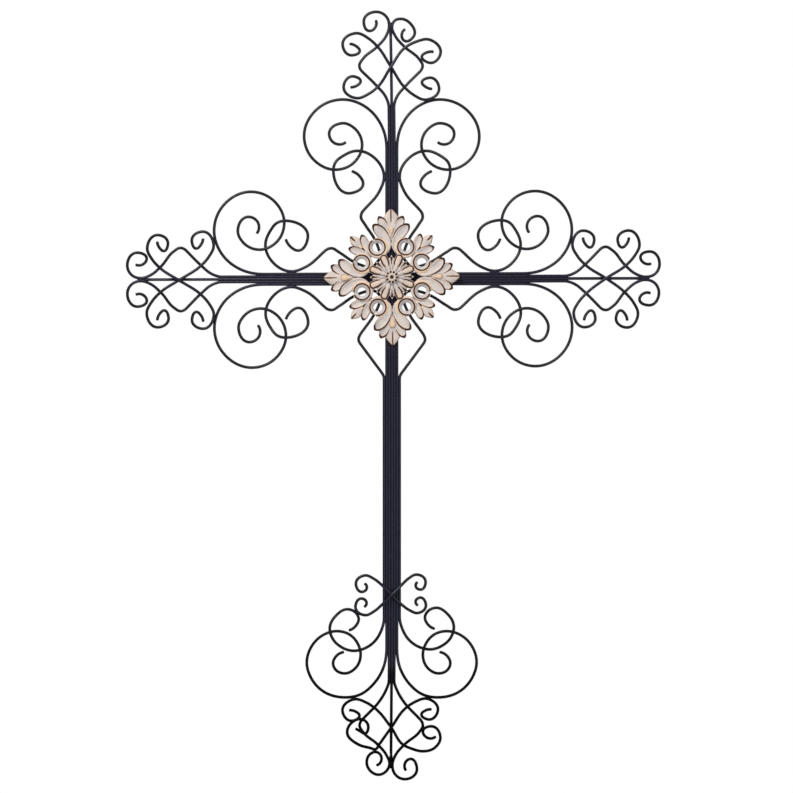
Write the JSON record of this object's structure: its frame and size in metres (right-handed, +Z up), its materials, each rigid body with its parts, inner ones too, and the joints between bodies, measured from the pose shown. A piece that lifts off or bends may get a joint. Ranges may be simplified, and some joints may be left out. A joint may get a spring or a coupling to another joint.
{
  "type": "wrought iron wall cross",
  "caption": "Flat wall cross of bent steel wire with scrolled ends and a cast flower medallion where the bars meet; hangs on a wall hook.",
  "frame": {"origin": "crossing of the two scroll wires in the head of the cross, where it rests on a wall hook", "axes": "+Z up along the upright towards its head, +X to the viewer's right along the crossbar, the front of the cross faces -Y and +Y runs into the wall"},
  "size_m": [0.6206, 0.0204, 0.8929],
  "materials": {
    "wire": "satin black enamel on round steel wire",
    "medallion": "cast resin painted a distressed cream with worn brown edges"
  },
  "bodies": {
    "root": {"upright_centre_wire": "wire", "upright_lozenge_wire_left": "wire", "upright_lozenge_wire_right": "wire", "upright_scroll_wire_left": "wire", "upright_scroll_wire_right": "wire", "crossbar_centre_wire": "wire", "crossbar_lozenge_wire_upper": "wire", "crossbar_lozenge_wire_lower": "wire", "crossbar_scroll_wire_upper": "wire", "crossbar_scroll_wire_lower": "wire", "corner_wire_upper_left": "wire", "corner_wire_upper_right": "wire", "corner_wire_lower_left": "wire", "corner_wire_lower_right": "wire", "head_crossed_wire_back": "wire", "head_crossed_wire_front": "wire", "left_arm_crossed_wire_front": "wire", "left_arm_crossed_wire_back": "wire", "right_arm_crossed_wire_front": "wire", "right_arm_crossed_wire_back": "wire", "foot_crossed_wire_back": "wire", "foot_crossed_wire_front": "wire", "shaft_crossed_wire_back": "wire", "shaft_crossed_wire_front": "wire", "floral_medallion": "medallion"}
  },
  "joints": []
}
